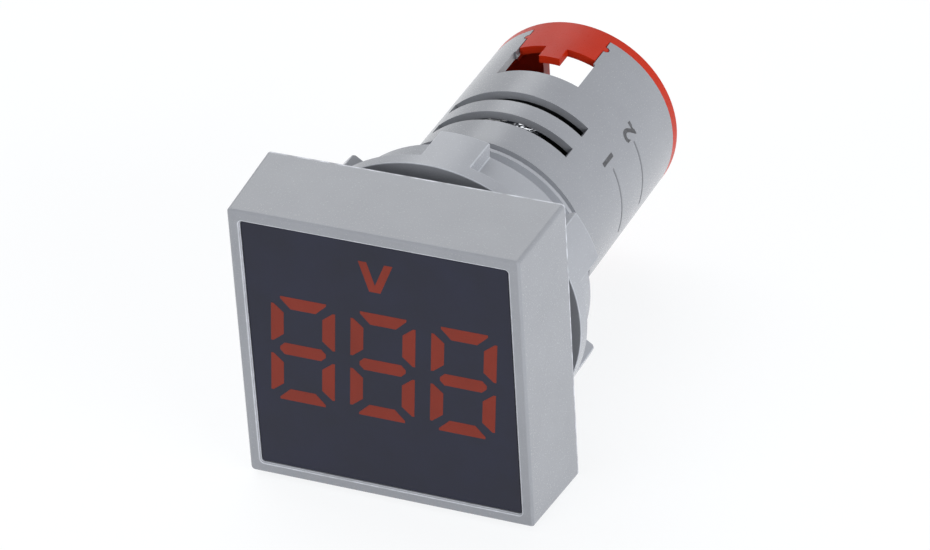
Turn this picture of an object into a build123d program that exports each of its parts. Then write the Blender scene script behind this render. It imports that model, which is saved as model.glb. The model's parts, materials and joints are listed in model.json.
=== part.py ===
from build123d import *
from math import cos, radians, sin, sqrt, tan
import os

# Digital panel meter: a square bezel with a three-figure display on a threaded 22 mm barrel.
# Millimetres. The barrel's axis is Y. The bezel's back face, which seats on the panel, is at y = 0,
# the display looks towards -Y, the terminals are at the +Y end and +Z is up.

# Bezel
BEZEL_BACK = 29.5
BEZEL_DEPTH = 9.7
BEZEL_DRAFT_DEG = 2.6
BEZEL_RIM = 1.18
BEZEL_CORNER = 0.4
BEZEL_EDGE = 0.2
BACK_WALL = 1.6
OPENING_CORNER = 0.3
OPENING_BEVEL = 0.14

# Front panel
PANEL_RECESS = 0.22
PANEL_THICKNESS = 1.2
PANEL_CLEARANCE = 0.06

# Figures and unit sign, leaning to the right
DIGIT_HEIGHT = 11.1
DIGIT_MARGIN = 1.93
DIGIT_GAP = 1.66
DIGIT_LIFT = 0.09
DIGIT_LEAN_DEG = 4.5
SEGMENT_WIDTH = 1.27
SEGMENT_CORNER_GAP = 0.72
SEGMENT_MIDDLE_GAP = 0.7
SEGMENT_BAR_INSET = 0.88
SEGMENT_CLEARANCE = 0.02
UNIT_WIDTH = 3.4
UNIT_HEIGHT = 3.1
UNIT_STROKE = 0.82
UNIT_FOOT = 1.1
UNIT_GAP = 2.45

# Display circuit
DISPLAY_BOARD_THICKNESS = 1.0
LED_LENGTH = 0.8
LED_WIDTH = 0.5
LED_HEIGHT = 0.5
GUIDE_GAP = 0.1

# Barrel
THREAD_DIAMETER = 22.0
NECK_LENGTH = 13.7
BODY_STEP = 0.8
BODY_LENGTH = 23.3
BODY_WALL = 0.8
FLANGE_SHOULDER = 1.0
FLANGE_THICKNESS = 1.0
NECK_CHAMFER = 0.2
FIT_CLEARANCE = 0.1

# Vent slots and wire-entry windows, above and below the axis
SLOT_START = 4.8
SLOT_WIDTH = 1.65
SLOT_SPACING = 3.9
SLOT_COUNT = 2
SLOT_HALF_ANGLE_DEG = 42.5
WINDOW_LENGTH = 8.8
WINDOW_WIDTH = 8.45
SNAP_LENGTH = 4.4
SNAP_WIDTH = 8.05
CATCH_RADIUS = 0.32
CATCH_FROM_END = 1.4

# Gasket and ring nut
GASKET_THICKNESS = 1.0
GASKET_WIDTH = 2.0
NUT_STANDOFF = 2.5
NUT_FLANGE = 1.6
NUT_LENGTH = 6.3
NUT_WALL = 2.0
LUG_HEIGHT = 1.6
LUG_WIDTH = 4.9
LUG_COUNT = 6
LUG_TURN_DEG = 5.0
LUG_EDGE = 0.25
NUT_CLEARANCE = 0.06

# Rear cap
CAP_THICKNESS = 1.5
CAP_EDGE = 0.4
SKIRT_THICKNESS = 0.8
SKIRT_LENGTH = 3.8
TONGUE_WIDTH = 2.15
TONGUE_LENGTH = 1.95
SPIGOT_THICKNESS = 0.9
SPIGOT_LENGTH = 2.0
SPIGOT_GAP = 0.7
ACCESS_WIDTH = 6.4
ACCESS_CORNER = 0.8

# Terminals
TERMINAL_ROOM = 1.256
TERMINAL_DEPTH = 9.2
BASE_THICKNESS = 2.0
BARRIER_THICKNESS = 1.4
BARRIER_GAP = 1.3
PLATE_THICKNESS = 0.8
PLATE_WIDTH = 6.8
TAIL_WIDTH = 4.0
TAIL_LAP = 1.7
CLAMP_THICKNESS = 1.0
CLAMP_WIDTH = 6.4
CLAMP_GROOVE = 0.5
SCREW_DIAMETER = 3.0
SCREW_LENGTH = 5.5
HEAD_DIAMETER = 5.2
HEAD_HEIGHT = 1.8
HEAD_EDGE = 0.5
DRIVE_SLOT = 0.75
DRIVE_DEPTH = 0.9
DRIVE_REACH = 3.2
SCREW_CLEARANCE = 0.06
SEAT_CLEARANCE = 0.02

# Main board and what stands on it
MAIN_BOARD_THICKNESS = 1.2
BOARD_GAP = 0.2
COMPONENT_GAP = 0.6
HEADER_PINS = 6
PIN_SPACING = 2.0
HEADER_BODY = 2.0
PIN_SIZE = 0.5
PIN_LAP = 4.0
FILM_WIDTH = 6.0
CAN_DIAMETER = 6.3
CAN_GROOVE = 0.25
BRIDGE_LENGTH = 4.7
BRIDGE_WIDTH = 3.9
BRIDGE_HEIGHT = 2.4
CHIP_LENGTH = 8.6
CHIP_HEIGHT = 1.4
CHIP_LEADS = 7
CHIP_LEAD_SPACING = 1.1
LEAD_SIZE = 0.35
LEAD_REACH = 0.75
RESISTOR_DIAMETER = 2.6
RESISTOR_LENGTH = 6.5
VARISTOR_DIAMETER = 6.0
VARISTOR_THICKNESS = 2.6


def station(y):
    """Plane across the axis at y, with its x along X and its y along Z."""
    return Plane.XZ.offset(-y)


def prism(outline, y_start, y_end):
    """Front-view outline carried along the axis between two stations."""
    return extrude(station(y_start) * outline, amount=y_end - y_start, dir=(0, 1, 0))


def drafted(outline, y_start, y_end, draft_deg):
    """Front-view outline carried between two stations and drawn in by a draft angle."""
    way = (0, 1 if y_end > y_start else -1, 0)
    return extrude(station(y_start) * outline, amount=abs(y_end - y_start), dir=way, taper=draft_deg)


def ring(outer, inner):
    """Flat ring outline about the axis."""
    return Circle(outer) - Circle(inner)


def edges_at(shape, y):
    """Edges that lie whole on the station at y."""
    return [e for e in shape.edges() if all(abs(v.Y - y) < 1e-4 for v in e.vertices())]


def bore_reach(half_width):
    """Height above the axis that the bore leaves free at that half width."""
    return sqrt((bore_radius - FIT_CLEARANCE) ** 2 - half_width ** 2)


# Worked-out sizes
bezel_front = BEZEL_BACK - 2 * BEZEL_DEPTH * tan(radians(BEZEL_DRAFT_DEG))
opening = bezel_front - 2 * BEZEL_RIM
thread_radius = THREAD_DIAMETER / 2
body_diameter = THREAD_DIAMETER - 2 * BODY_STEP
body_radius = body_diameter / 2
bore_radius = body_radius - BODY_WALL
flange_size = THREAD_DIAMETER + 2 * FLANGE_SHOULDER
body_end = NECK_LENGTH + BODY_LENGTH
panel_front = PANEL_RECESS - BEZEL_DEPTH
panel_back = panel_front + PANEL_THICKNESS
ledge = -(BACK_WALL + FLANGE_THICKNESS)
display_board_front = ledge - DISPLAY_BOARD_THICKNESS
guide_back = display_board_front - LED_HEIGHT - GUIDE_GAP
display_size = opening - 2 * PANEL_CLEARANCE
digit_width = (opening - 2 * DIGIT_MARGIN - 2 * DIGIT_GAP) / 3
digit_pitch = digit_width + DIGIT_GAP
snap_front = body_end - SNAP_LENGTH
base_back = body_end - TERMINAL_DEPTH
base_front = base_back - BASE_THICKNESS
plate_back = base_back + PLATE_THICKNESS
clamp_front = plate_back + SEAT_CLEARANCE
clamp_back = clamp_front + CLAMP_THICKNESS
head_front = clamp_back + SEAT_CLEARANCE
screw_tip = head_front - SCREW_LENGTH
spigot_inner = bore_radius - FIT_CLEARANCE - SPIGOT_THICKNESS
board_top = MAIN_BOARD_THICKNESS / 2
board_front = ledge + HEADER_BODY + BOARD_GAP
board_back = base_front - BOARD_GAP
tail_bottom = BARRIER_THICKNESS / 2 + FIT_CLEARANCE / 2
pin_end = ledge + HEADER_BODY + PIN_LAP
can_front = screw_tip - COMPONENT_GAP - CAN_DIAMETER
chip_span = bore_reach(CHIP_LENGTH / 2) - board_top - HEADER_BODY
terminal_top = bore_reach(PLATE_WIDTH / 2) - TERMINAL_ROOM
terminal_bottom = BARRIER_THICKNESS / 2 + BARRIER_GAP
terminal_height = (terminal_top + terminal_bottom) / 2
clamp_height = terminal_top - terminal_bottom
SIDES = {"top": 1, "bottom": -1}


def bezel():
    """Drafted square housing, open in front, with a ledge for the display and a hole for the neck."""
    half_back = BEZEL_BACK / 2
    half_front = bezel_front / 2
    side_view = Polygon(
        (-half_back, 0), (-half_front, -BEZEL_DEPTH), (half_front, -BEZEL_DEPTH), (half_back, 0), align=None
    )
    flanks = extrude(side_view, amount=half_back, both=True)
    shell = flanks & Rot(0, 90, 0) * flanks
    rims = edges_at(shell, 0) + edges_at(shell, -BEZEL_DEPTH)
    shell = fillet([edge for edge in shell.edges() if edge not in rims], BEZEL_CORNER)
    shell = chamfer(edges_at(shell, -BEZEL_DEPTH), BEZEL_EDGE)
    cavity = prism(RectangleRounded(opening, opening, OPENING_CORNER), -BEZEL_DEPTH, ledge)
    mouth = RectangleRounded(
        opening + 2 * OPENING_BEVEL, opening + 2 * OPENING_BEVEL, OPENING_CORNER + OPENING_BEVEL
    )
    bevel = drafted(mouth, -BEZEL_DEPTH, OPENING_BEVEL - BEZEL_DEPTH, 45)
    seat = prism(RectangleRounded(flange_size, flange_size, OPENING_CORNER), ledge, -BACK_WALL)
    neck_hole = prism(Circle(thread_radius + FIT_CLEARANCE), -BACK_WALL, 0)
    return shell - cavity - bevel - seat - neck_hole


def leaning(points, centre_x, centre_z):
    """Outline from points across and up from a centre, sheared by the figures' lean."""
    lean = tan(radians(DIGIT_LEAN_DEG))
    return Polygon(*[(centre_x + across + up * lean, centre_z + up) for across, up in points], align=None)


def mirrored(points, flip_across, flip_up):
    """Points mirrored about a figure's two centre lines, still anticlockwise."""
    turned = [(across * flip_across, up * flip_up) for across, up in points]
    return turned if flip_across * flip_up > 0 else turned[::-1]


def digit_outlines(centre_x):
    """The seven mitred segments of one figure."""
    side = digit_width / 2
    crown = DIGIT_HEIGHT / 2
    corner = SEGMENT_CORNER_GAP
    inset = SEGMENT_BAR_INSET
    half = SEGMENT_WIDTH / 2
    top = [
        (side - corner, crown),
        (corner - side, crown),
        (corner - side + SEGMENT_WIDTH, crown - SEGMENT_WIDTH),
        (side - corner - SEGMENT_WIDTH, crown - SEGMENT_WIDTH),
    ]
    upright = [
        (side, SEGMENT_MIDDLE_GAP),
        (side, crown - corner),
        (side - SEGMENT_WIDTH, crown - corner - SEGMENT_WIDTH),
        (side - SEGMENT_WIDTH, SEGMENT_MIDDLE_GAP + SEGMENT_WIDTH),
    ]
    bar = [
        (side - inset, 0),
        (side - inset - half, half),
        (inset + half - side, half),
        (inset - side, 0),
        (inset + half - side, -half),
        (side - inset - half, -half),
    ]
    outlines = [bar, top, mirrored(top, 1, -1)]
    outlines += [mirrored(upright, across, up) for across in (1, -1) for up in (1, -1)]
    return [leaning(points, centre_x, DIGIT_LIFT) for points in outlines]


def unit_outline():
    """V sign centred above the figures."""
    half = UNIT_WIDTH / 2
    foot = UNIT_FOOT / 2
    crotch = (UNIT_STROKE - foot) * UNIT_HEIGHT / (half - foot)
    points = [
        (-foot, 0),
        (foot, 0),
        (half, UNIT_HEIGHT),
        (half - UNIT_STROKE, UNIT_HEIGHT),
        (0, crotch),
        (UNIT_STROKE - half, UNIT_HEIGHT),
        (-half, UNIT_HEIGHT),
    ]
    return leaning(points, 0, DIGIT_LIFT + DIGIT_HEIGHT / 2 + UNIT_GAP)


def lens_panel(outlines):
    """Dark front panel, pierced where the light guides come through."""
    square = RectangleRounded(display_size, display_size, OPENING_CORNER)
    holes = [offset(outline, SEGMENT_CLEARANCE, kind=Kind.INTERSECTION) for outline in outlines]
    return prism(square, panel_front, panel_back) - prism(Sketch() + holes, panel_front, panel_back)


def light_guides(outlines):
    """Translucent segments, flush with the panel's face and reaching down their wells to the chips."""
    return Part() + [prism(outline, panel_front, guide_back) for outline in outlines]


def reflector(outlines):
    """Block behind the panel with a light well for each segment."""
    square = RectangleRounded(display_size, display_size, OPENING_CORNER)
    wells = [offset(outline, SEGMENT_CLEARANCE, kind=Kind.INTERSECTION) for outline in outlines]
    return prism(square, panel_back, display_board_front) - prism(
        Sketch() + wells, panel_back, display_board_front
    )


def pin_places():
    """X of each pin of the board connector."""
    middle = (HEADER_PINS - 1) / 2
    return [(index - middle) * PIN_SPACING for index in range(HEADER_PINS)]


def at_pins(outline):
    """The outline repeated at the pins, which lie on the main board's upper face."""
    height = board_top + PIN_SIZE / 2
    return Sketch() + [Pos(x, height) * outline for x in pin_places()]


def display_board():
    """Square circuit board on the bezel's ledge, with the connector's pin holes."""
    square = RectangleRounded(display_size, display_size, OPENING_CORNER)
    holes = at_pins(Rectangle(PIN_SIZE + 2 * SEAT_CLEARANCE, PIN_SIZE + 2 * SEAT_CLEARANCE))
    return prism(square, display_board_front, ledge) - prism(holes, display_board_front, ledge)


def led_chips(outlines):
    """One light-emitting chip in the middle of each figure's segment and one at the unit sign's foot."""
    chips = []
    for outline in outlines:
        box = outline.bounding_box()
        upright = box.size.Y > box.size.X
        across, up = (LED_WIDTH, LED_LENGTH) if upright else (LED_LENGTH, LED_WIDTH)
        place = outline.center()
        chips.append(Pos(place.X, place.Y) * Rectangle(across, up))
    foot = DIGIT_LIFT + DIGIT_HEIGHT / 2 + UNIT_GAP + LED_WIDTH / 2 + SEGMENT_CLEARANCE
    chips.append(Pos(0, foot) * Rectangle(LED_LENGTH, LED_WIDTH))
    return prism(Sketch() + chips, display_board_front - LED_HEIGHT, display_board_front)


def small_outline_chip():
    """Moulded circuit with a row of flat leads along both sides, standing on z = 0."""
    on_base = (Align.CENTER, Align.CENTER, Align.MIN)
    chip = Pos(0, 0, LEAD_SIZE / 2) * Box(
        CHIP_LENGTH, chip_span - 2 * LEAD_REACH, CHIP_HEIGHT, align=on_base
    )
    for index in range(CHIP_LEADS):
        x = (index - (CHIP_LEADS - 1) / 2) * CHIP_LEAD_SPACING
        chip += Pos(x, 0, 0) * Box(LEAD_SIZE, chip_span, LEAD_SIZE, align=on_base)
    return chip


def driver_chip():
    """Display driver on the back of the display board, above the connector."""
    height = board_top + HEADER_BODY + chip_span / 2
    seat = Plane(origin=(0, ledge, height), x_dir=(1, 0, 0), z_dir=(0, 1, 0))
    return seat * small_outline_chip()


def header_body():
    """Insulating strip that holds the connector's pins."""
    height = board_top + PIN_SIZE / 2
    strip = Pos(0, height) * Rectangle(HEADER_PINS * PIN_SPACING, HEADER_BODY)
    holes = at_pins(Rectangle(PIN_SIZE + 2 * SEAT_CLEARANCE, PIN_SIZE + 2 * SEAT_CLEARANCE))
    return prism(strip - holes, ledge, ledge + HEADER_BODY)


def header_pins():
    """Square pins from the display board to the main board's upper face."""
    return prism(at_pins(Rectangle(PIN_SIZE, PIN_SIZE)), display_board_front, pin_end)


def barrel():
    """One moulding: square front flange, threaded neck and vented body with two wire-entry windows."""
    flange_outline = RectangleRounded(
        flange_size - 2 * FIT_CLEARANCE, flange_size - 2 * FIT_CLEARANCE, OPENING_CORNER
    )
    neck = prism(Circle(thread_radius), -BACK_WALL, NECK_LENGTH)
    neck = chamfer(edges_at(neck, NECK_LENGTH), NECK_CHAMFER)
    tube = prism(flange_outline, ledge, -BACK_WALL) + neck
    tube += prism(Circle(body_radius), NECK_LENGTH, body_end)
    tube -= prism(Circle(bore_radius), ledge, body_end)
    reach = body_diameter
    angle = radians(SLOT_HALF_ANGLE_DEG)
    wedge = Polygon((0, 0), (reach * sin(angle), reach * cos(angle)),
                    (-reach * sin(angle), reach * cos(angle)), align=None)
    for side in SIDES.values():
        turned = wedge if side > 0 else Rot(0, 0, 180) * wedge
        for index in range(SLOT_COUNT):
            start = NECK_LENGTH + SLOT_START + index * SLOT_SPACING
            tube -= prism(turned, start, start + SLOT_WIDTH)
        edge = Pos(0, side * body_radius)
        tube -= prism(edge * Rectangle(WINDOW_WIDTH, body_radius), body_end - WINDOW_LENGTH, snap_front)
        tube -= prism(edge * Rectangle(SNAP_WIDTH, body_radius), snap_front, body_end)
    return tube - catches(CATCH_RADIUS + FIT_CLEARANCE, body_radius + BODY_WALL, bore_radius - BODY_WALL)


def catches(radius, outer, inner):
    """Half-round bars between two radii at the sides of both wire-entry windows."""
    y = body_end - CATCH_FROM_END
    bars = [
        Pos(side * SNAP_WIDTH / 2, y, 0) * Cylinder(radius, body_diameter)
        for side in (1, -1)
    ]
    shell = prism(ring(outer, inner), y - radius, y + radius)
    return Part() + [bar & shell for bar in bars]


def gasket():
    """Flat rubber ring behind the bezel."""
    inner = thread_radius + FIT_CLEARANCE
    return prism(ring(inner + GASKET_WIDTH, inner), 0, GASKET_THICKNESS)


def ring_nut():
    """Lock nut: a front flange, a sleeve and lugs that stand between open notches."""
    bore = thread_radius + NUT_CLEARANCE
    sleeve = thread_radius + NUT_WALL
    outer = sleeve + LUG_HEIGHT
    back = NUT_STANDOFF + NUT_LENGTH
    bars = Sketch()
    for index in range(LUG_COUNT):
        turn = Rot(0, 0, -LUG_TURN_DEG - index * 360 / LUG_COUNT)
        bars += turn * Pos(0, sleeve) * Rectangle(LUG_WIDTH, 2 * NUT_WALL + 2 * LUG_HEIGHT)
    nut = prism(Circle(outer) & (bars + Circle(sleeve)), NUT_STANDOFF, back)
    mid_lug = (sleeve + outer) / 2
    tips = [e for e in edges_at(nut, back) if all(v.X ** 2 + v.Z ** 2 > mid_lug ** 2 for v in e.vertices())]
    nut = chamfer(tips, LUG_EDGE)
    nut += prism(Circle(outer), NUT_STANDOFF, NUT_STANDOFF + NUT_FLANGE)
    return nut - prism(Circle(bore), NUT_STANDOFF, back)


def main_board():
    """Long circuit board that fills the bore's width."""
    width = 2 * bore_reach(board_top)
    return prism(Rectangle(width, MAIN_BOARD_THICKNESS), board_front, board_back)


def film_capacitor():
    """Potted box on the board's upper face, between the connector and the can."""
    height = bore_reach(FILM_WIDTH / 2) - board_top - COMPONENT_GAP
    start = pin_end + COMPONENT_GAP
    length = can_front - COMPONENT_GAP - start
    box = Box(FILM_WIDTH, length, height, align=(Align.CENTER, Align.MIN, Align.MIN))
    box = Pos(0, start, board_top) * box
    return fillet(box.edges().filter_by(Axis.Z), COMPONENT_GAP)


def electrolytic_capacitor():
    """Upright can under the vent slots, clear of the terminal screw's tip."""
    radius = CAN_DIAMETER / 2
    height = bore_reach(radius) - board_top - COMPONENT_GAP
    upright = (Align.CENTER, Align.CENTER, Align.MIN)
    can = Cylinder(radius, height, align=upright)
    can = chamfer(can.edges().filter_by(GeomType.CIRCLE), CAN_GROOVE)
    groove = Cylinder(radius + CAN_GROOVE, 2 * CAN_GROOVE, align=upright)
    groove -= Cylinder(radius - CAN_GROOVE, 2 * CAN_GROOVE, align=upright)
    return Pos(0, can_front + radius, board_top) * (can - Pos(0, 0, 4 * CAN_GROOVE) * groove)


def under_board(x, y):
    """Seat on the board's lower face, looking down, with its x along the barrel."""
    return Plane(origin=(x, y, -board_top), x_dir=(0, 1, 0), z_dir=(0, 0, -1))


def microcontroller():
    """Measuring circuit on the board's lower face."""
    return under_board(0, board_front + COMPONENT_GAP + CHIP_LENGTH / 2) * small_outline_chip()


def bridge_rectifier():
    """Block rectifier beside the measuring circuit."""
    block = Box(BRIDGE_LENGTH, BRIDGE_WIDTH, BRIDGE_HEIGHT, align=(Align.CENTER, Align.CENTER, Align.MIN))
    block = chamfer(block.faces().sort_by(Axis.Z)[-1].edges(), LEAD_SIZE)
    x = chip_span / 2 + COMPONENT_GAP + BRIDGE_WIDTH / 2
    return under_board(x, board_front + COMPONENT_GAP + BRIDGE_LENGTH / 2) * block


def dropper_resistor():
    """Axial resistor on its two bent leads, behind the measuring circuit."""
    height = RESISTOR_DIAMETER / 2 + LEAD_SIZE
    body = Pos(0, 0, height) * Rot(0, 90, 0) * Cylinder(RESISTOR_DIAMETER / 2, RESISTOR_LENGTH)
    reach = RESISTOR_LENGTH / 2 + 2 * LEAD_SIZE
    span = Pos(0, 0, height) * Box(2 * reach, LEAD_SIZE, LEAD_SIZE)
    body += span
    for end in (1, -1):
        foot = Box(LEAD_SIZE, LEAD_SIZE, height, align=(Align.CENTER, Align.CENTER, Align.MIN))
        body += Pos(end * (reach - LEAD_SIZE / 2), 0, 0) * foot
    x = RESISTOR_DIAMETER / 2 + COMPONENT_GAP
    return under_board(x, board_front + CHIP_LENGTH + 2 * COMPONENT_GAP + reach) * body


def varistor():
    """Surge disc lying on the lower face in front of the contact plate's tail."""
    disc = Cylinder(
        VARISTOR_DIAMETER / 2, VARISTOR_THICKNESS, align=(Align.CENTER, Align.CENTER, Align.MIN)
    )
    disc = chamfer(disc.edges().filter_by(GeomType.CIRCLE), COMPONENT_GAP)
    y = board_back - TAIL_LAP - COMPONENT_GAP - VARISTOR_DIAMETER / 2
    return under_board(-VARISTOR_DIAMETER / 2, y) * disc


def terminal_base():
    """Insulating disc that carries the contact plates, with the barrier between them."""
    radius = bore_radius - FIT_CLEARANCE
    base = prism(Circle(radius), base_front, base_back)
    barrier = Rectangle(2 * (spigot_inner - FIT_CLEARANCE), BARRIER_THICKNESS)
    base += prism(barrier & Circle(radius), base_back, body_end - FIT_CLEARANCE)
    for side in SIDES.values():
        hole = Pos(0, side * terminal_height) * Circle(SCREW_DIAMETER / 2 + 4 * SCREW_CLEARANCE)
        tail = tail_outline(side, FIT_CLEARANCE)
        base -= prism(Sketch() + [hole, tail], base_front, base_back)
    return base


def tail_outline(side, room):
    """Section of a contact plate's tail, grown by some room all round."""
    middle = side * (tail_bottom + PLATE_THICKNESS / 2)
    return Pos(0, middle) * Rectangle(TAIL_WIDTH + 2 * room, PLATE_THICKNESS + 2 * room)


def terminal_plate(side):
    """Contact plate with its screw hole and the tail that laps onto the main board."""
    middle = side * (tail_bottom + terminal_top) / 2
    face = Pos(0, middle) * Rectangle(PLATE_WIDTH, terminal_top - tail_bottom)
    hole = Pos(0, side * terminal_height) * Circle(SCREW_DIAMETER / 2 + SCREW_CLEARANCE)
    plate = prism(face - hole, base_back, plate_back)
    return plate + prism(tail_outline(side, 0), board_back - TAIL_LAP, plate_back)


def wire_clamp(side):
    """Pressure plate with a wire groove on either side of its screw hole."""
    middle = Pos(0, side * terminal_height)
    blank = Rectangle(CLAMP_WIDTH, clamp_height) - Circle(SCREW_DIAMETER / 2 + SCREW_CLEARANCE)
    clamp = prism(middle * blank, clamp_front, clamp_back)
    shank_side = SCREW_DIAMETER / 2 + SCREW_CLEARANCE
    lane = (shank_side + CLAMP_WIDTH / 2) / 2
    for x in (lane, -lane):
        clamp -= Pos(x, clamp_front, side * terminal_height) * Cylinder(CLAMP_GROOVE, clamp_height)
    return clamp


def terminal_screw(side):
    """Pan-head screw with a slot and a cross recess."""
    head = prism(Circle(HEAD_DIAMETER / 2), head_front, head_front + HEAD_HEIGHT)
    head = chamfer(edges_at(head, head_front + HEAD_HEIGHT), HEAD_EDGE)
    shank = prism(Circle(SCREW_DIAMETER / 2), screw_tip, head_front)
    shank = chamfer(edges_at(shank, screw_tip), DRIVE_SLOT / 2)
    recess = Rectangle(HEAD_DIAMETER, DRIVE_SLOT) + Rectangle(DRIVE_SLOT, DRIVE_REACH)
    top = head_front + HEAD_HEIGHT
    screw = head + shank - prism(recess, top - DRIVE_DEPTH, top)
    return Pos(0, 0, side * terminal_height) * screw


def terminal_cover():
    """Rear cap: disc with two driver openings, locating spigot and a skirt that snaps into each window."""
    back = body_end + CAP_THICKNESS
    disc = prism(Circle(body_radius), body_end, back)
    disc = chamfer(edges_at(disc, back), CAP_EDGE)
    spigot_outer = bore_radius - FIT_CLEARANCE
    clear_of_windows = Rectangle(WINDOW_WIDTH + 2 * SPIGOT_GAP, body_diameter)
    spigot = ring(spigot_outer, spigot_inner) - clear_of_windows
    disc += prism(spigot, body_end - SPIGOT_LENGTH, body_end)
    shell = ring(body_radius, body_radius - SKIRT_THICKNESS)
    for side in SIDES.values():
        window = Pos(0, side * body_radius) * Rectangle(SNAP_WIDTH - 2 * FIT_CLEARANCE, body_radius)
        tongue = Pos(0, side * body_radius) * Rectangle(TONGUE_WIDTH, body_radius)
        skirt_front = body_end - SKIRT_LENGTH
        disc += prism(shell & window, skirt_front, body_end)
        disc += prism(shell & tongue, skirt_front - TONGUE_LENGTH, skirt_front)
        access = RectangleRounded(ACCESS_WIDTH, clamp_height, ACCESS_CORNER)
        disc -= prism(Pos(0, side * terminal_height) * access, body_end, back)
    return disc + catches(CATCH_RADIUS, body_radius, body_radius - SKIRT_THICKNESS)


def build():
    """Every piece of the meter by its name."""
    digits = {
        name: digit_outlines(place * digit_pitch)
        for name, place in (("digit_left", -1), ("digit_middle", 0), ("digit_right", 1))
    }
    segments = [outline for outlines in digits.values() for outline in outlines]
    unit = unit_outline()
    pieces = {
        "bezel": bezel(),
        "lens_panel": lens_panel(segments + [unit]),
        "unit_symbol": light_guides([unit]),
        "reflector": reflector(segments + [unit]),
        "display_board": display_board(),
        "led_chips": led_chips(segments),
        "driver_chip": driver_chip(),
        "header_body": header_body(),
        "header_pins": header_pins(),
        "barrel": barrel(),
        "gasket": gasket(),
        "ring_nut": ring_nut(),
        "main_board": main_board(),
        "film_capacitor": film_capacitor(),
        "electrolytic_capacitor": electrolytic_capacitor(),
        "bridge_rectifier": bridge_rectifier(),
        "microcontroller": microcontroller(),
        "dropper_resistor": dropper_resistor(),
        "varistor": varistor(),
        "terminal_base": terminal_base(),
        "terminal_cover": terminal_cover(),
    }
    for name, outlines in digits.items():
        pieces[name] = light_guides(outlines)
    for name, side in SIDES.items():
        pieces[f"terminal_plate_{name}"] = terminal_plate(side)
        pieces[f"wire_clamp_{name}"] = wire_clamp(side)
        pieces[f"terminal_screw_{name}"] = terminal_screw(side)
    return pieces


os.makedirs("parts", exist_ok=True)
for piece_name, piece in build().items():
    export_step(piece, f"parts/{piece_name}.step")
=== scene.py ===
import json
from math import cos, hypot, radians, sin, tan, tau

import bmesh
import bpy
from mathutils import Euler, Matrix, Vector

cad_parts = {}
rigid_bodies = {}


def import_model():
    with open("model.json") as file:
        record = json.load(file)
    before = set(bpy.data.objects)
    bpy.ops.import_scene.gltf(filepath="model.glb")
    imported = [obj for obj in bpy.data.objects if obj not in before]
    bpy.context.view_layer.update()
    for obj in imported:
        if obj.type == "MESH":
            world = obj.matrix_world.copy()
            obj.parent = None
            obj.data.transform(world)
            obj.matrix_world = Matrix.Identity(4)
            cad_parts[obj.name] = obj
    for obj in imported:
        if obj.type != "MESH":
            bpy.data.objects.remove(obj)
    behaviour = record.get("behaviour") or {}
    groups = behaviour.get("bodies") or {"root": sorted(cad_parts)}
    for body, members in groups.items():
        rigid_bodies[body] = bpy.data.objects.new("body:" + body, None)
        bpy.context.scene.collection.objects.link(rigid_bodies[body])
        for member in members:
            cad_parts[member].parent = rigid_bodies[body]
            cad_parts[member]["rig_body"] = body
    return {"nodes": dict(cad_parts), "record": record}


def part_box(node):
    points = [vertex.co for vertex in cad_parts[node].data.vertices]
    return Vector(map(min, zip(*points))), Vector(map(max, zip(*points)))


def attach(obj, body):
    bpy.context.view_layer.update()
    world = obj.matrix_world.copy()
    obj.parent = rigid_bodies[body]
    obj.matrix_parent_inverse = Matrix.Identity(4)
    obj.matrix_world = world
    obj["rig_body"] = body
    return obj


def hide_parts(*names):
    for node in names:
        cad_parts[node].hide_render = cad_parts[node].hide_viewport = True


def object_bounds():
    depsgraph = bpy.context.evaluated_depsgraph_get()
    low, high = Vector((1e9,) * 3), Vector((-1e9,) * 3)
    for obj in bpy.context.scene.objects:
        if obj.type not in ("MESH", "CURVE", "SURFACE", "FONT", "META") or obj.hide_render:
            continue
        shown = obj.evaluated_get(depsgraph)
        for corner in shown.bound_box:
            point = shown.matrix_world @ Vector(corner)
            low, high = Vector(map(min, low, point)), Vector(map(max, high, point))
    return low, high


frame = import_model()
cad_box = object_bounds()

MM = 0.001
NODES = frame["nodes"]
SLOT_OF = {part["node"]: part["material_slot"] for part in frame["record"]["subparts"]}
NECK = next(m for m in frame["record"]["mounts"] if m["name"] == "panel_cutout")["dims"]
NECK_RADIUS = NECK["r_mm"] * MM
NECK_LENGTH = NECK["length_mm"] * MM
BODY_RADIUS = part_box("terminal_cover")[1].x

# Camera at the photograph's angle
CAMERA_PLACE = (0.156937, -0.322064, 0.231062)
CAMERA_TURN_DEG = (57.574, 3.080, 23.386)
CAMERA_LENS = 179.29
CAMERA_SENSOR = 36.0
CAMERA_CLIP = 0.01

# Thread on the neck, with a plain collar behind it
THREAD_PITCH = 1.5 * MM
THREAD_DEPTH = 0.65 * MM
THREAD_CREST = 0.45 * MM
THREAD_FOOT = 1.2 * MM
THREAD_SUNK = 0.05 * MM
THREAD_START = 0.49 * MM
THREAD_STEPS = 72
THREAD_FADE = 6
THREAD_LEAST = 0.05
COLLAR_LENGTH = 0.2 * MM
COLLAR_SLOPE = 0.2 * MM
COLLAR_FRONT = NECK_LENGTH - COLLAR_LENGTH - COLLAR_SLOPE

# Widths of the rounded edges, apart from where they are held back because edges are close
BEZEL_ROUND = 0.13 * MM
BARREL_ROUND = 0.1 * MM
NUT_ROUND = 0.1 * MM
CAP_ROUND = 0.12 * MM
LENS_ROUND = 0.05 * MM
GASKET_ROUND = 0.15 * MM
METAL_ROUND = 0.08 * MM

# Painted highlight on the bezel's edges: paler behind a place along it, and round its opening
EDGE_BACK = -0.6 * MM
OPENING_REACH = 13.5 * MM
EDGE_CLOUD = 0.8 * MM
EDGE_LEVELS = (1.1, 2.4)

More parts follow.
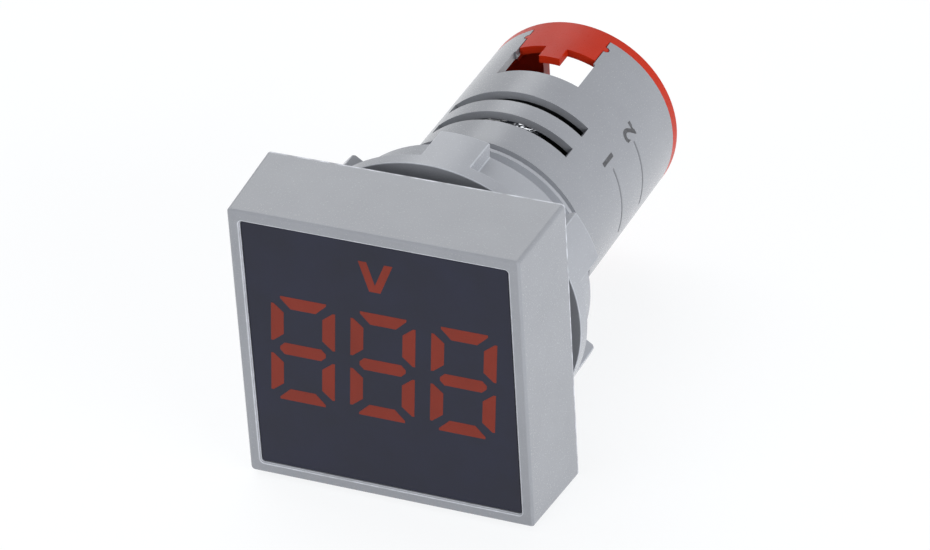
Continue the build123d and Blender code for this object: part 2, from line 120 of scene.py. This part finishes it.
# Front of the display: figures of seven blunt-ended windows and the unit sign
FACE_LIFT = 0.01 * MM
FIGURE_PLACES = {"left": -7.87 * MM, "middle": 0.09 * MM, "right": 8.06 * MM}
FIGURE_MIDDLE = 0.09 * MM
FIGURE_LEAN_DEG = 4.5
CROWN = 5.7 * MM
SIDE = 3.21 * MM
BAR_WIDTH = 1.27 * MM
BAR_END = 2.29 * MM
BAR_TIP = 0.24 * MM
POST_START = 0.71 * MM
POST_STOP = 4.79 * MM
POST_TIP = 0.24 * MM
POST_SLOPE = 0.84
MIDDLE_TIP = 0.18 * MM
UNIT_SHIFT = -0.12 * MM

# Marks printed on the body: a numeral and a thin rule for each terminal
MARK_PLACES = {"1": 23.6 * MM, "2": 28.95 * MM}
MARK_LIFT = 0.02 * MM
NUMERAL_SIZE = 3.0 * MM
NUMERAL_WEIGHT = 0.07 * MM
NUMERAL_DEG = 62
RULE_WIDTH = 0.2 * MM
RULE_START_DEG = 68
RULE_STOP_DEG = 108
RULE_STEPS = 20
NUMERAL_DENSITY = 1.0
RULE_DENSITY = 0.55
INK_ROUGHNESS = 0.5
INK_PATCH = 0.5 * MM
INK_THIN = 0.8

# Range that a noise pattern mostly keeps to
NOISE_RANGE = (0.3, 0.7)

# Patterns in plastic: clouds, grain, specks by spacing and radius, painted shade on a front and a painted
# highlight band
CLOUD_SIZE = 5 * MM
GRAIN_DEPTH = 0.012 * MM
GRAIN_SIZE = 0.14 * MM
ROUGHNESS_SPREAD = 0.07
PALE_SPECKS = (4.5 * MM, 0.09 * MM)
PALE_LEVEL = 2.0
DARK_SPECKS = (7.3 * MM, 0.1 * MM)
DARK_LEVEL = 0.45
# Painted shade: how far the darkening of a front face fades back, and how dark it gets
PAINTED_SHADE_FADE = 0.05 * MM
PAINTED_SHADE_LEVEL = 0.75
# Painted highlight: patchy pale band along the bezel's back edge, its patch size, range, level, place and
# fade
HIGHLIGHT_PATCH = 1.2 * MM
HIGHLIGHT_RANGE = (0.35, 0.65)
HIGHLIGHT_LEVEL = 2.3
HIGHLIGHT_BAND = (-0.24 * MM, -0.03 * MM)
HIGHLIGHT_FADE = 0.03 * MM

# Patterns in metal: stains and drawn lines
STAIN_SIZE = 2.5 * MM
STAIN_LEVELS = (0.8, 1.1)
LINE_SIZE = 0.4 * MM
LINE_DEPTH = 0.006 * MM
LINE_ROUGHNESS = (-0.1, 0.12)

# Circuit board: cells of track under the solder mask, and bare pads by spacing, radius and softness
BOARD_ROUGHNESS = 0.35
TRACK_CELL = 1.6 * MM
TRACK_EDGE = (0.28, 0.32)
TRACK_HEIGHT = 0.02 * MM
MASK_DARK = (0.012, 0.11, 0.03, 1)
MASK_PALE = (0.02, 0.17, 0.05, 1)
PADS = (2.3 * MM, 0.3 * MM, 0.1)
PAD_TIN = (0.62, 0.6, 0.55, 1)

# Capacitor's can: a bare spot at a share of its width and length, in a sleeve
CAN_ROUGHNESS = 0.12
BARE_SHARE = (0.75, 0.7)
BARE_RADIUS = 1.25 * MM
BARE_EDGE = 1.3 * MM
DENT_SIZE = 1.6 * MM
DENT_DEPTH = 0.5 * MM
SLEEVE_DARK = (0.012, 0.014, 0.02, 1)
SLEEVE_PALE = (0.03, 0.035, 0.05, 1)
CAN_METAL = (0.5, 0.51, 0.53, 1)

# Studio: the floor's paper as light meets it and as it is seen, its glow as seen, the light from all round,
# and the soft boxes' place, size, power and whether glossy surfaces mirror them
STUDIO_WHITE = (0.98, 0.99, 1, 1)
LAMP_COLOUR = (0.97, 0.985, 1.0)
FLOOR_SIZE = 2.0
FLOOR_PAPER = 0.9
FLOOR_SEEN = 0.2
FLOOR_GLOW = 0.855
FILL_LIGHT = 0.27
LIGHTS = {
    "overhead": ((-0.5, 0.43, 0.88), 1.2, 6.8, True),
    "right": ((1.0, -0.3, 0.06), 1.0, 16.2, False),
    "front": ((-0.5, -1.0, 0.12), 0.8, 7.0, False),
}

# Closeness of joined vertices and of matching places, and the angles of flat faces and sharp edges
WELD = 0.0005 * MM
NEAR = 0.02 * MM
FLAT_DEG = 0.4
SHARP_DEG = 28


def add_mesh(name, bm):
    """New object in the scene from a bmesh, shaded smooth."""
    mesh = bpy.data.meshes.new(name)
    bm.normal_update()
    bm.to_mesh(mesh)
    bm.free()
    for layer in ("custom_normal", "sharp_face", "sharp_edge"):
        if layer in mesh.attributes:
            mesh.attributes.remove(mesh.attributes[layer])
    mesh.shade_smooth()
    obj = bpy.data.objects.new(name, mesh)
    bpy.context.scene.collection.objects.link(obj)
    return obj


def take(node):
    """Bmesh copy of a CAD node with its split vertices joined and its flat faces whole."""
    bm = bmesh.new()
    bm.from_mesh(NODES[node].data)
    bmesh.ops.remove_doubles(bm, verts=bm.verts, dist=WELD)
    bmesh.ops.dissolve_limit(bm, angle_limit=radians(FLAT_DEG), verts=bm.verts, edges=bm.edges)
    return bm


def round_edges(obj, width, segments=2, edge_finish=None, held_back=True):
    """Rounds an object's sharp edges, in a finish of their own if given, held back where edges are close."""
    bevel = obj.modifiers.new("edges", "BEVEL")
    if edge_finish:
        obj.data.materials.append(edge_finish)
        bevel.material = len(obj.data.materials) - 1
    bevel.width = width
    bevel.segments = segments
    bevel.limit_method = "ANGLE"
    bevel.angle_limit = radians(SHARP_DEG)
    bevel.use_clamp_overlap = held_back
    bevel.harden_normals = True
    bevel.miter_outer = "MITER_ARC"


def stand_for(node, obj, finish=None):
    """Lets an object take a CAD node's place and body, with a given finish or that of the node's slot."""
    obj.data.materials.clear()
    obj.data.materials.append(finish or FINISHES[SLOT_OF[node]])
    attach(obj, NODES[node]["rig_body"])
    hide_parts(node)


def add_to_housing(name, bm, finish):
    """Adds a closed piece of its own to the housing, with its faces turned outwards."""
    bmesh.ops.recalc_face_normals(bm, faces=bm.faces)
    if bm.calc_volume(signed=True) < 0:
        bmesh.ops.reverse_faces(bm, faces=bm.faces)
    obj = add_mesh(name, bm)
    obj.data.set_sharp_from_angle(angle=radians(SHARP_DEG))
    obj.data.materials.append(finish)
    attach(obj, "housing")


class Finish:
    """Node material around one Principled shader, patterned in the object's own coordinates."""

    def __init__(self, name, **values):
        self.material = bpy.data.materials.new(name)
        self.material.use_nodes = True
        self.tree = self.material.node_tree
        self.shader = self.tree.nodes["Principled BSDF"]
        for socket, value in values.items():
            self.shader.inputs[socket.replace("_", " ")].default_value = value
        self.place = self.add("ShaderNodeTexCoord").outputs["Object"]

    def add(self, kind, links=(), **settings):
        """Node of a kind with its properties set and its inputs linked or filled in."""
        node = self.tree.nodes.new(kind)
        for key, value in settings.items():
            setattr(node, key, value)
        for socket, value in dict(links).items():
            if isinstance(value, bpy.types.NodeSocket):
                self.tree.links.new(value, node.inputs[socket])
            else:
                node.inputs[socket].default_value = value
        return node

    def feed(self, socket, output):
        """Links an output to a socket of the shader."""
        self.tree.links.new(output, self.shader.inputs[socket])

    def stretched(self, scale):
        """The object's coordinates scaled along each axis."""
        return self.add("ShaderNodeMapping", {"Vector": self.place, "Scale": scale}).outputs[0]

    def noise(self, size, detail=3.0, rough=0.5, stretch=None):
        """Cloudy pattern with features of about a size in metres."""
        vector = self.stretched(stretch) if stretch else self.place
        inputs = {"Vector": vector, "Scale": 1 / size, "Detail": detail, "Roughness": rough}
        return self.add("ShaderNodeTexNoise", inputs).outputs["Fac"]

    def span(self, value, low, high, new_low, new_high):
        """Maps a value from one range to another."""
        inputs = {"Value": value, "From Min": low, "From Max": high, "To Min": new_low, "To Max": new_high}
        return self.add("ShaderNodeMapRange", inputs).outputs["Result"]

    def specks(self, spacing, radius, soft=0.4):
        """Sparse round spots, one to a cell."""
        inputs = {"Vector": self.place, "Scale": 1 / spacing}
        near = self.add("ShaderNodeTexVoronoi", inputs).outputs["Distance"]
        return self.span(near, radius / spacing * (1 - soft), radius / spacing, 1.0, 0.0)

    def math(self, operation, *values):
        """Result of an operation on values and outputs."""
        return self.add("ShaderNodeMath", enumerate(values), operation=operation).outputs[0]

    def axis(self, name):
        """One of the object's coordinates."""
        return self.add("ShaderNodeSeparateXYZ", {"Vector": self.place}).outputs[name]

    def band(self, start, stop):
        """One between two places along the object, zero outside them."""
        rise = self.span(self.axis("Y"), start, start + HIGHLIGHT_FADE, 0, 1)
        fall = self.span(self.axis("Y"), stop - HIGHLIGHT_FADE, stop, 1, 0)
        return self.math("MULTIPLY", rise, fall)

    def mix(self, factor, first, second):
        """Colour between two colours or colour outputs."""
        node = self.add("ShaderNodeMix", data_type="RGBA")
        for index, value in ((0, factor), (6, first), (7, second)):
            if isinstance(value, bpy.types.NodeSocket):
                self.tree.links.new(value, node.inputs[index])
            else:
                node.inputs[index].default_value = value
        return node.outputs[2]

    def bump(self, height, depth):
        """Fine relief of a depth in metres."""
        inputs = {"Height": height, "Distance": depth, "Strength": 1.0}
        self.feed("Normal", self.add("ShaderNodeBump", inputs).outputs["Normal"])


def shade(colour, level):
    """Opaque colour at a level of brightness."""
    return tuple(min(1.0, part * level) for part in colour) + (1.0,)


def moulded(name, colour, roughness, mottle=0.05, grain=GRAIN_DEPTH, dust=0.0, gloss=0.5,
            soiled_to=None, rubbed=None):
    """Moulded plastic: clouds, grain and sparse specks, with painted shade on its front or a painted
    highlight band.
    """
    finish = Finish(name, Roughness=roughness, Specular_IOR_Level=gloss)
    cloud = finish.span(finish.noise(CLOUD_SIZE, 5.0, 0.6), *NOISE_RANGE, 0, 1)
    tone = finish.mix(cloud, shade(colour, 1 - mottle), shade(colour, 1 + mottle))
    if dust:
        for specks, level in ((PALE_SPECKS, PALE_LEVEL), (DARK_SPECKS, DARK_LEVEL)):
            share = finish.span(finish.specks(*specks), 0, 1, 0, dust)
            tone = finish.mix(share, tone, shade(colour, level))
    # Painted shade: the front face is darkened, standing in for the shade in the gap behind the bezel
    if soiled_to is not None:
        soil = finish.span(finish.axis("Y"), soiled_to, soiled_to + PAINTED_SHADE_FADE, 1, 0)
        tone = finish.mix(soil, tone, shade(colour, PAINTED_SHADE_LEVEL))
    # Painted highlight: a pale patchy band along the object, standing in for an edge catching the light
    if rubbed:
        wear_and_highlight = finish.span(finish.noise(HIGHLIGHT_PATCH, 4.0), *HIGHLIGHT_RANGE, 0, 1)
        pale = finish.mix(wear_and_highlight, tone, shade(colour, HIGHLIGHT_LEVEL))
        tone = finish.mix(finish.band(*rubbed), tone, pale)
    finish.feed("Base Color", tone)
    fine = finish.noise(GRAIN_SIZE, 2.0)
    smooth = roughness - ROUGHNESS_SPREAD
    rough = roughness + ROUGHNESS_SPREAD
    finish.feed("Roughness", finish.span(fine, *NOISE_RANGE, smooth, rough))
    finish.bump(fine, grain)
    return finish.material


def metal(name, colour, roughness, stretch):
    """Bare metal with drawn lines and slight staining."""
    finish = Finish(name, Metallic=1.0, Roughness=roughness)
    stain = finish.noise(STAIN_SIZE, 4.0)
    dark, pale = [shade(colour, level) for level in STAIN_LEVELS]
    finish.feed("Base Color", finish.mix(stain, dark, pale))
    lines = finish.noise(LINE_SIZE, 3.0, stretch=stretch)
    smooth, rough = [roughness + change for change in LINE_ROUGHNESS]
    finish.feed("Roughness", finish.span(lines, *NOISE_RANGE, smooth, rough))
    finish.bump(lines, LINE_DEPTH)
    return finish.material


def board(name):
    """Circuit board: solder mask over copper tracks with bare pads."""
    finish = Finish(name, Roughness=BOARD_ROUGHNESS)
    inputs = {"Vector": finish.place, "Scale": 1 / TRACK_CELL}
    cells = finish.add("ShaderNodeTexVoronoi", inputs, distance="CHEBYCHEV").outputs["Distance"]
    track = finish.span(cells, *TRACK_EDGE, 0, 1)
    tone = finish.mix(track, MASK_DARK, MASK_PALE)
    finish.feed("Base Color", finish.mix(finish.specks(*PADS), tone, PAD_TIN))
    finish.bump(track, TRACK_HEIGHT)
    return finish.material


def can_finish(name):
    """Aluminium can in a dark sleeve that leaves part of its dented top bare."""
    finish = Finish(name, Roughness=CAN_ROUGHNESS)
    low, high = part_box("electrolytic_capacitor")
    across, along = BARE_SHARE
    spot = Vector((low.x + (high.x - low.x) * across, low.y + (high.y - low.y) * along, high.z))
    inputs = {0: finish.place, 1: spot}
    reach = finish.add("ShaderNodeVectorMath", inputs, operation="DISTANCE").outputs["Value"]
    bare = finish.span(reach, BARE_RADIUS, BARE_EDGE, 1, 0)
    cloud = finish.noise(DENT_SIZE, 2.0)
    sleeve = finish.mix(cloud, SLEEVE_DARK, SLEEVE_PALE)
    finish.feed("Base Color", finish.mix(bare, sleeve, CAN_METAL))
    finish.feed("Metallic", bare)
    finish.bump(cloud, DENT_DEPTH)
    return finish.material


def rubbed_edges(name):
    """Plastic on the bezel's edges, with painted highlights at the back and round the lens."""
    finish = Finish(name, Roughness=GREY_ROUGHNESS)
    back = finish.math("GREATER_THAN", finish.axis("Y"), EDGE_BACK)
    across = [finish.math("ABSOLUTE", finish.axis(letter)) for letter in "XZ"]
    opening = finish.math("LESS_THAN", finish.math("MAXIMUM", *across), OPENING_REACH)
    rubbed = finish.math("MAXIMUM", back, opening)
    cloud = finish.noise(EDGE_CLOUD, 4.0)
    pale = finish.mix(cloud, *[shade(GREY, level) for level in EDGE_LEVELS])
    finish.feed("Base Color", finish.mix(rubbed, shade(GREY, 1.0), pale))
    return finish.material


def grey(name, level=1.0, mottle=0.035, **settings):
    """Grey plastic of the housing at a level of brightness."""
    return moulded(name, shade(GREY, level)[:3], GREY_ROUGHNESS, mottle, **settings)


GREY = (0.311, 0.321, 0.349)
GREY_ROUGHNESS = 0.22
GREY_WEAR = {"grain": 0.006 * MM, "dust": 0.5}
INK = (0.05, 0.05, 0.055)
FINISHES = {
    "housing_grey": grey("housing_grey", **GREY_WEAR),
    "lens_dark": moulded("lens_dark", (0.005, 0.0065, 0.022), 0.36, mottle=0.2, grain=0.004 * MM,
                         dust=0.05, gloss=0.4),
    "segment_red": moulded("segment_red", (0.2, 0.019, 0.007), 0.4, mottle=0.08, gloss=0.32),
    "reflector_white": moulded("reflector_white", (0.75, 0.75, 0.73), 0.5),
    "board_green": board("board_green"),
    "chip_black": moulded("chip_black", (0.014, 0.014, 0.015), 0.55, mottle=0.2),
    "led_white": moulded("led_white", (0.8, 0.76, 0.55), 0.3),
    "pin_tin": metal("pin_tin", (0.75, 0.74, 0.7), 0.3, (1, 0.1, 1)),
    "gasket_black": moulded("gasket_black", (0.016, 0.016, 0.017), 0.75, mottle=0.2, grain=0.03 * MM),
    "film_red_brown": moulded("film_red_brown", (0.2, 0.03, 0.018), 0.3, mottle=0.15, grain=0.03 * MM),
    "can_sleeve": can_finish("can_sleeve"),
    "resistor_blue": moulded("resistor_blue", (0.03, 0.12, 0.3), 0.4, mottle=0.12),
    "varistor_blue": moulded("varistor_blue", (0.02, 0.06, 0.28), 0.35, mottle=0.12, grain=0.04 * MM),
    "base_black": moulded("base_black", (0.02, 0.02, 0.022), 0.5, mottle=0.15),
    "cap_red": moulded("cap_red", (0.53, 0.026, 0.006), 0.34, mottle=0.06, dust=0.15, gloss=0.15),
    "contact_brass": metal("contact_brass", (0.72, 0.5, 0.2), 0.3, (1, 1, 0.1)),
    "screw_steel": metal("screw_steel", (0.66, 0.67, 0.68), 0.3, (0.3, 1, 0.3)),
}
# Painted highlight: the rounded edges of the barrel and nut in a lighter copy of the housing grey
PALE_EDGE = grey("housing_edge", 1.6, mottle=0.2)
# Painted highlight: the bezel's rounded edges are paler at the back and round the opening
BEZEL_EDGE = rubbed_edges("bezel_edge")
# Bezel grey, with a painted highlight band just in front of its back edge
BEZEL_GREY = grey("bezel_grey", rubbed=HIGHLIGHT_BAND, **GREY_WEAR)
# Painted light: the thread, part of the housing moulding, in a lighter copy of its grey to brighten its
# shaded flanks
THREAD_GREY = grey("thread_grey", 1.2)
# Nut grey, with painted shade on its front face where it sits in the gap behind the bezel
NUT_GREY = grey("nut_grey", 1.22, soiled_to=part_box("ring_nut")[0].y + NEAR, **GREY_WEAR)


def dress_nodes():
    """Gives every CAD node its procedural finish."""
    for name, node in NODES.items():
        node.material_slots[0].material = FINISHES[SLOT_OF[name]]


def soften(node, name, width, finish=None, **edges):
    """Stands a copy with rounded edges in for a CAD node."""
    obj = add_mesh(name, take(node))
    stand_for(node, obj, finish)
    round_edges(obj, width, **edges)


def barrel_moulding():
    """The barrel with its neck turned down to the thread's root in front of the collar."""
    bm = take("barrel")
    root = NECK_RADIUS - THREAD_DEPTH
    for y in (COLLAR_FRONT, COLLAR_FRONT + COLLAR_SLOPE):
        geometry = bm.verts[:] + bm.edges[:] + bm.faces[:]
        bmesh.ops.bisect_plane(bm, geom=geometry, plane_co=(0, y, 0), plane_no=(0, 1, 0), dist=WELD)
    for vert in bm.verts:
        radius = hypot(vert.co.x, vert.co.z)
        if vert.co.y < COLLAR_FRONT + WELD and abs(radius - NECK_RADIUS) < NEAR:
            vert.co.x *= root / radius
            vert.co.z *= root / radius
    obj = add_mesh("barrel_moulding", bm)
    stand_for("barrel", obj)
    round_edges(obj, BARREL_ROUND, edge_finish=PALE_EDGE)


def neck_thread():
    """Right-handed helical ridge on the neck, fading out at both ends."""
    root = NECK_RADIUS - THREAD_DEPTH
    profile = (
        (-THREAD_FOOT / 2, 0), (-THREAD_CREST / 2, THREAD_DEPTH),
        (THREAD_CREST / 2, THREAD_DEPTH), (THREAD_FOOT / 2, 0),
    )
    turns = (NECK_LENGTH - THREAD_FOOT / 2 - THREAD_START) / THREAD_PITCH
    steps = int(turns * THREAD_STEPS)
    bm = bmesh.new()
    rings = []
    for step in range(steps + 1):
        angle = tau * step / THREAD_STEPS
        middle = THREAD_START + THREAD_PITCH * step / THREAD_STEPS
        fade = max(THREAD_LEAST, min(1.0, step / THREAD_FADE, (steps - step) / THREAD_FADE))
        ring = []
        for along, height in profile:
            radius = root - THREAD_SUNK
            if height:
                radius += (height + THREAD_SUNK) * fade
            ring.append(bm.verts.new((radius * sin(angle), middle + along, radius * cos(angle))))
        rings.append(ring)
    for first, second in zip(rings, rings[1:]):
        for index in range(len(profile)):
            after = (index + 1) % len(profile)
            bm.faces.new((first[index], first[after], second[after], second[index]))
    bm.faces.new(rings[0][::-1])
    bm.faces.new(rings[-1])
    add_to_housing("neck_thread", bm, THREAD_GREY)


def plate(bm, outline, front, back):
    """Adds a thin flat plate with an outline of points across and up."""
    faces = []
    for y in (front, back):
        faces.append([bm.verts.new((across, y, up)) for across, up in outline])
    first, second = faces
    bm.faces.new(first)
    bm.faces.new(second[::-1])
    for index in range(len(outline)):
        after = (index + 1) % len(outline)
        bm.faces.new((first[after], first[index], second[index], second[after]))


def figure_outlines(centre):
    """Outlines of a figure's seven windows, leaning to the right."""
    bar_run = BAR_WIDTH - BAR_TIP
    brow = CROWN - BAR_WIDTH
    crown_bar = [
        (-BAR_END, CROWN), (BAR_END, CROWN), (BAR_END, CROWN - BAR_TIP),
        (BAR_END - bar_run, brow), (bar_run - BAR_END, brow), (-BAR_END, CROWN - BAR_TIP),
    ]
    inner = SIDE - BAR_WIDTH
    post_run = POST_SLOPE * (BAR_WIDTH - POST_TIP)
    post = [
        (SIDE, POST_START), (SIDE, POST_STOP), (SIDE - POST_TIP, POST_STOP),
        (inner, POST_STOP - post_run), (inner, POST_START + post_run), (SIDE - POST_TIP, POST_START),
    ]
    half = BAR_WIDTH / 2
    shoulder = BAR_END - half + MIDDLE_TIP
    middle_bar = [
        (-shoulder, half), (shoulder, half), (BAR_END, MIDDLE_TIP), (BAR_END, -MIDDLE_TIP),
        (shoulder, -half), (-shoulder, -half), (-BAR_END, -MIDDLE_TIP), (-BAR_END, MIDDLE_TIP),
    ]
    windows = [middle_bar]
    for flip in (1, -1):
        windows.append([(across, flip * up) for across, up in crown_bar])
        for side in (1, -1):
            windows.append([(side * across, flip * up) for across, up in post])
    lean = tan(radians(FIGURE_LEAN_DEG))
    return [
        [(centre + across + up * lean, FIGURE_MIDDLE + up) for across, up in window]
        for window in windows
    ]


def display_front():
    """Smooth dark front of the lens with the red windows of the figures and the unit sign in it."""
    low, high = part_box("lens_panel")
    front = low.y - FACE_LIFT
    bm = bmesh.new()
    corners = [(low.x, low.z), (high.x, low.z), (high.x, high.z), (low.x, high.z)]
    plate(bm, corners, front, high.y)
    bmesh.ops.recalc_face_normals(bm, faces=bm.faces)
    lens = add_mesh("lens_front", bm)
    stand_for("lens_panel", lens)
    round_edges(lens, LENS_ROUND, segments=1)

    unit = take("unit_symbol")
    bmesh.ops.translate(unit, verts=unit.verts, vec=(UNIT_SHIFT, -2 * FACE_LIFT, 0))
    faces = {"unit_window": unit}
    for name, centre in FIGURE_PLACES.items():
        bm = bmesh.new()
        for outline in figure_outlines(centre):
            plate(bm, outline, front - FACE_LIFT, front + FACE_LIFT)
        faces[f"figure_{name}_windows"] = bm
    for name, bm in faces.items():
        add_to_housing(name, bm, FINISHES["segment_red"])


def ink_finish(name, density):
    """Printing ink of a density between bare plastic and black, thin in patches."""
    finish = Finish(name, Roughness=INK_ROUGHNESS)
    wear_and_highlight = finish.span(finish.noise(INK_PATCH, 4.0), *NOISE_RANGE, density, density * INK_THIN)
    finish.feed("Base Color", finish.mix(wear_and_highlight, shade(GREY, 1), shade(INK, 1)))
    return finish.material


def wrapped(bm, degrees, y):
    """Bends a flat mark onto the body: its x runs up round the body and its y to the front."""
    for vert in bm.verts:
        across, up, lift = vert.co
        angle = radians(degrees) - across / BODY_RADIUS
        radius = BODY_RADIUS + lift
        vert.co = (radius * sin(angle), y - up, radius * cos(angle))


def numeral(text):
    """Flat mesh of a numeral in the plain built-in letters, centred on the origin."""
    letters = bpy.data.curves.new("numeral", "FONT")
    letters.body = text
    letters.size = NUMERAL_SIZE
    letters.align_x = "CENTER"
    letters.align_y = "CENTER"
    letters.extrude = MARK_LIFT
    letters.offset = NUMERAL_WEIGHT
    holder = bpy.data.objects.new("numeral", letters)
    bm = bmesh.new()
    bm.from_mesh(bpy.data.meshes.new_from_object(holder))
    bpy.data.objects.remove(holder)
    bmesh.ops.remove_doubles(bm, verts=bm.verts, dist=WELD)
    return bm


def rule():
    """Flat mesh of a thin rule along x, ready to be bent."""
    bm = bmesh.new()
    length = radians(RULE_STOP_DEG - RULE_START_DEG) * BODY_RADIUS
    bmesh.ops.create_cube(bm, size=1.0)
    for vert in bm.verts:
        vert.co = (vert.co.x * length, vert.co.y * RULE_WIDTH, vert.co.z * 2 * MARK_LIFT)
    along = [edge for edge in bm.edges if abs(edge.verts[0].co.x - edge.verts[1].co.x) > length / 2]
    bmesh.ops.subdivide_edges(bm, edges=along, cuts=RULE_STEPS, use_grid_fill=True)
    return bm


def body_marks():
    """Numeral and rule for each terminal, printed on the body's right side."""
    dark = ink_finish("numeral_ink", NUMERAL_DENSITY)
    faint = ink_finish("rule_ink", RULE_DENSITY)
    for text, y in MARK_PLACES.items():
        pieces = {
            f"mark_numeral_{text}": (numeral(text), NUMERAL_DEG, dark),
            f"mark_rule_{text}": (rule(), (RULE_START_DEG + RULE_STOP_DEG) / 2, faint),
        }
        for name, (bm, degrees, ink) in pieces.items():
            wrapped(bm, degrees, y)
            add_to_housing(name, bm, ink)


def seen_share(tree, seen, other):
    """Share for rays from the camera, mirrors and glass, with another for the rest."""
    path = tree.nodes.new("ShaderNodeLightPath")
    total = path.outputs["Is Camera Ray"]
    for output in ("Is Glossy Ray", "Is Transmission Ray"):
        most = tree.nodes.new("ShaderNodeMath")
        most.operation = "MAXIMUM"
        tree.links.new(total, most.inputs[0])
        tree.links.new(path.outputs[output], most.inputs[1])
        total = most.outputs[0]
    part = tree.nodes.new("ShaderNodeMath")
    part.operation = "MULTIPLY_ADD"
    part.inputs[1].default_value = seen - other
    part.inputs[2].default_value = other
    tree.links.new(total, part.inputs[0])
    return part.outputs[0]


def soft_box(name, place, size, power, mirrored):
    """Square area lamp that looks at the object."""
    lamp = bpy.data.lights.new(name, "AREA")
    lamp.size = size
    lamp.energy = power
    lamp.color = LAMP_COLOUR
    holder = bpy.data.objects.new(name, lamp)
    holder.location = place
    holder.rotation_euler = (-Vector(place)).to_track_quat("-Z", "Y").to_euler()
    holder.visible_glossy = mirrored
    bpy.context.scene.collection.objects.link(holder)


def add_floor():
    """Pale floor under the object, white to the camera apart from its shadow."""
    bm = bmesh.new()
    bmesh.ops.create_grid(bm, x_segments=1, y_segments=1, size=FLOOR_SIZE)
    floor = add_mesh("floor", bm)
    floor.location.z = cad_box[0][2]
    material = bpy.data.materials.new("floor_white")
    material.use_nodes = True
    tree = material.node_tree
    tree.nodes.clear()
    paper = tree.nodes.new("ShaderNodeBsdfDiffuse")
    glow = tree.nodes.new("ShaderNodeEmission")
    glow.inputs["Color"].default_value = STUDIO_WHITE
    both = tree.nodes.new("ShaderNodeAddShader")
    out = tree.nodes.new("ShaderNodeOutputMaterial")
    tree.links.new(seen_share(tree, FLOOR_SEEN, FLOOR_PAPER), paper.inputs["Color"])
    tree.links.new(seen_share(tree, FLOOR_GLOW, 0), glow.inputs["Strength"])
    tree.links.new(paper.outputs[0], both.inputs[0])
    tree.links.new(glow.outputs[0], both.inputs[1])
    tree.links.new(both.outputs[0], out.inputs["Surface"])
    floor.data.materials.append(material)


def add_surroundings():
    """White all round, with a soft share of it as light."""
    world = bpy.data.worlds.new("studio")
    world.use_nodes = True
    tree = world.node_tree
    sky = tree.nodes["Background"]
    sky.inputs["Color"].default_value = STUDIO_WHITE
    tree.links.new(seen_share(tree, 1, FILL_LIGHT), sky.inputs["Strength"])
    bpy.context.scene.world = world


def add_camera():
    """Camera that sees the object as the photograph does."""
    camera = bpy.data.cameras.new("camera")
    camera.lens = CAMERA_LENS
    camera.sensor_width = CAMERA_SENSOR
    camera.clip_start = CAMERA_CLIP
    holder = bpy.data.objects.new("camera", camera)
    holder.location = CAMERA_PLACE
    holder.rotation_euler = Euler([radians(turn) for turn in CAMERA_TURN_DEG])
    bpy.context.scene.collection.objects.link(holder)
    bpy.context.scene.camera = holder


dress_nodes()
soften("bezel", "bezel_moulding", BEZEL_ROUND, BEZEL_GREY, edge_finish=BEZEL_EDGE)
barrel_moulding()
neck_thread()
soften("ring_nut", "nut_moulding", NUT_ROUND, NUT_GREY, edge_finish=PALE_EDGE, held_back=False)
soften("terminal_cover", "cap_moulding", CAP_ROUND)
display_front()
soften("gasket", "gasket_ring", GASKET_ROUND)
for side in ("top", "bottom"):
    soften(f"terminal_screw_{side}", f"screw_{side}_turned", METAL_ROUND)
    soften(f"wire_clamp_{side}", f"clamp_{side}_pressed", METAL_ROUND)
body_marks()

bpy.context.scene.view_settings.view_transform = "Standard"
for name, settings in LIGHTS.items():
    soft_box(name, *settings)
add_floor()
add_surroundings()
add_camera()
